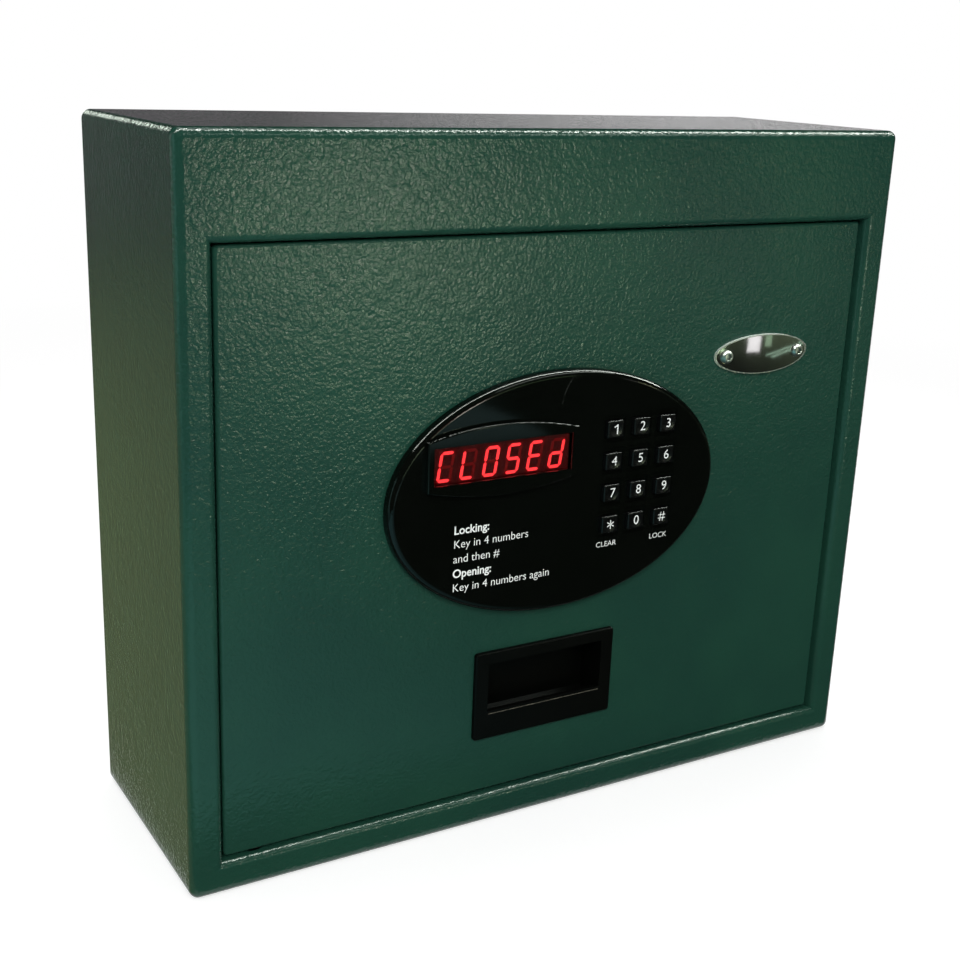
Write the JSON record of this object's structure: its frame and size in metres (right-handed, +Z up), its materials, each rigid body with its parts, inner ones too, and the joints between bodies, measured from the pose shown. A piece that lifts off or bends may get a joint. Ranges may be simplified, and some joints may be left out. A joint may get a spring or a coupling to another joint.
{
  "type": "in-wall safe",
  "caption": "Recessed steel safe with a left-hung door, oval keypad and display panel, flush pull, covered key override and motor-thrown bolts.",
  "frame": {"origin": "middle of the four wall-bolt holes, on the outer face of the back panel", "axes": "+X to the right as seen from the front, +Y out of the back into the wall, +Z up"},
  "size_m": [0.356, 0.12, 0.3124],
  "materials": {
    "green_paint": "semi-gloss textured powder coat, dark teal green",
    "grey_felt": "dark grey felt",
    "plain_steel": "plain steel",
    "bright_steel": "ground bright steel",
    "zinc": "zinc plated",
    "nickel": "nickel plated",
    "chrome": "polished chrome",
    "brass": "turned brass",
    "white_nylon": "natural nylon",
    "gloss_black": "gloss black moulding",
    "matte_black": "fine-grained black moulding",
    "key_black": "semi-gloss black",
    "red_window": "dark red tinted acrylic",
    "module_grey": "dark face of the digit block",
    "board_green": "circuit board",
    "cell_sleeve": "plain printed sleeve"
  },
  "bodies": {
    "cabinet": {"cabinet_shell": "green_paint", "back_panel": "green_paint", "floor_mat": "grey_felt", "hinge_block_lower": "plain_steel", "hinge_block_upper": "plain_steel", "hinge_pin_lower": "plain_steel", "hinge_pin_upper": "plain_steel", "hinge_washer": "white_nylon"},
    "door": {"door_pan": "green_paint", "hinge_bush_lower": "brass", "hinge_bush_upper": "brass", "control_panel": "gloss_black", "display_window": "red_window", "display_module": "module_grey", "keypad_board": "board_green", "board_screws": "zinc", "panel_nuts": "zinc", "pull_cup": "matte_black", "pull_nuts": "zinc", "override_cover_plate": "chrome", "cover_screws": "chrome", "lock_bracket": "plain_steel", "lock_barrel": "nickel", "lock_nut": "nickel", "bolt_guides": "white_nylon", "guide_studs": "zinc", "guide_nuts": "zinc", "gear_motor": "nickel", "motor_bracket": "zinc", "motor_screws": "zinc", "control_board": "board_green", "board_spacers": "white_nylon", "battery_box": "matte_black", "battery_contacts": "nickel", "batteries": "cell_sleeve", "inner_cover": "green_paint", "inner_cover_screws": "zinc"},
    "bolt_carriage": {"bolt_carriage": "zinc", "drive_rack": "plain_steel", "bolt_lower": "bright_steel", "bolt_upper": "bright_steel"},
    "drive_pinion": {"drive_pinion": "brass", "motor_shaft": "bright_steel"},
    "lock_plug": {"lock_plug": "brass", "lock_cam": "zinc", "cam_screw": "zinc"},
    "battery_lid": {"battery_lid": "matte_black"},
    "key_1": {"key_1": "key_black"},
    "key_2": {"key_2": "key_black"},
    "key_3": {"key_3": "key_black"},
    "key_4": {"key_4": "key_black"},
    "key_5": {"key_5": "key_black"},
    "key_6": {"key_6": "key_black"},
    "key_7": {"key_7": "key_black"},
    "key_8": {"key_8": "key_black"},
    "key_9": {"key_9": "key_black"},
    "key_star": {"key_star": "key_black"},
    "key_0": {"key_0": "key_black"},
    "key_hash": {"key_hash": "key_black"}
  },
  "joints": [
    {"name": "door_hinge", "type": "hinge", "parent": "cabinet", "child": "door", "pos_m": [-0.1485, -0.1055, -0.0135], "axis": [0, 0, -1], "range_deg": [0, 110]},
    {"name": "bolt_throw", "type": "slide", "parent": "door", "child": "bolt_carriage", "axis": [1, 0, 0], "range_m": [0, 0.0115]},
    {"name": "pinion_spin", "type": "hinge", "parent": "door", "child": "drive_pinion", "pos_m": [0.116, -0.09537, -0.01795], "axis": [0, 0, 1], "range_deg": [0, 104.6]},
    {"name": "override_turn", "type": "hinge", "parent": "door", "child": "lock_plug", "pos_m": [0.1072, -0.1, 0.05375], "axis": [0, 1, 0], "range_deg": [0, 90]},
    {"name": "battery_lid_slide", "type": "slide", "parent": "door", "child": "battery_lid", "axis": [0, 0, 1], "range_m": [0, 0.045]},
    {"name": "key_1_press", "type": "slide", "parent": "door", "child": "key_1", "axis": [0, 1, 0], "range_m": [0, 0.0008], "stiffness_N_per_m": 250},
    {"name": "key_2_press", "type": "slide", "parent": "door", "child": "key_2", "axis": [0, 1, 0], "range_m": [0, 0.0008], "stiffness_N_per_m": 250},
    {"name": "key_3_press", "type": "slide", "parent": "door", "child": "key_3", "axis": [0, 1, 0], "range_m": [0, 0.0008], "stiffness_N_per_m": 250},
    {"name": "key_4_press", "type": "slide", "parent": "door", "child": "key_4", "axis": [0, 1, 0], "range_m": [0, 0.0008], "stiffness_N_per_m": 250},
    {"name": "key_5_press", "type": "slide", "parent": "door", "child": "key_5", "axis": [0, 1, 0], "range_m": [0, 0.0008], "stiffness_N_per_m": 250},
    {"name": "key_6_press", "type": "slide", "parent": "door", "child": "key_6", "axis": [0, 1, 0], "range_m": [0, 0.0008], "stiffness_N_per_m": 250},
    {"name": "key_7_press", "type": "slide", "parent": "door", "child": "key_7", "axis": [0, 1, 0], "range_m": [0, 0.0008], "stiffness_N_per_m": 250},
    {"name": "key_8_press", "type": "slide", "parent": "door", "child": "key_8", "axis": [0, 1, 0], "range_m": [0, 0.0008], "stiffness_N_per_m": 250},
    {"name": "key_9_press", "type": "slide", "parent": "door", "child": "key_9", "axis": [0, 1, 0], "range_m": [0, 0.0008], "stiffness_N_per_m": 250},
    {"name": "key_star_press", "type": "slide", "parent": "door", "child": "key_star", "axis": [0, 1, 0], "range_m": [0, 0.0008], "stiffness_N_per_m": 250},
    {"name": "key_0_press", "type": "slide", "parent": "door", "child": "key_0", "axis": [0, 1, 0], "range_m": [0, 0.0008], "stiffness_N_per_m": 250},
    {"name": "key_hash_press", "type": "slide", "parent": "door", "child": "key_hash", "axis": [0, 1, 0], "range_m": [0, 0.0008], "stiffness_N_per_m": 250}
  ],
  "couplings": [
    {"joint": "pinion_spin", "follows": "bolt_throw", "rad_per_m": 158.73}
  ]
}
